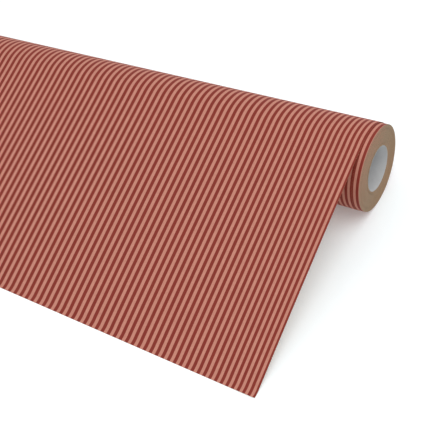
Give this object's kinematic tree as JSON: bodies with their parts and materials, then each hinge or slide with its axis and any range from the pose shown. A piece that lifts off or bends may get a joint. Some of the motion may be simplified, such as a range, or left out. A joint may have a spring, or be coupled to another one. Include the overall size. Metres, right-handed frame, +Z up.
{
  "type": "wrapping paper roll",
  "caption": "Roll of striped kraft gift wrap on a white card core, with a length of the sheet pulled off and lying to the front.",
  "frame": {"origin": "on the roll's axis, halfway along the card core", "axes": "+X along the roll's axis; -Y is the side the sheet is pulled off to; +Z up. The surface it lies on is at z = -0.0335"},
  "size_m": [0.7675, 0.2229, 0.0669],
  "materials": {
    "printed_kraft": "kraft gift wrap, uncoated, printed with lengthwise stripes in dark red and salmon",
    "kraft_edges": "edges of wound kraft paper",
    "core_liner": "white liner board, uncoated",
    "core_board": "grey board, uncoated",
    "tape_film": "translucent double-sided tape"
  },
  "bodies": {
    "sheet": {"unrolled_sheet": "printed_kraft"},
    "roll": {"core_inner_ply": "core_liner", "core_middle_ply": "core_board", "core_outer_ply": "core_board", "pickup_tape": "tape_film", "wound_paper": "kraft_edges"}
  },
  "joints": [
    {"name": "roll_turn", "type": "hinge", "parent": "sheet", "child": "roll", "pos_m": [0, 0, 0], "axis": [1, 0, 0], "continuous": true}
  ]
}
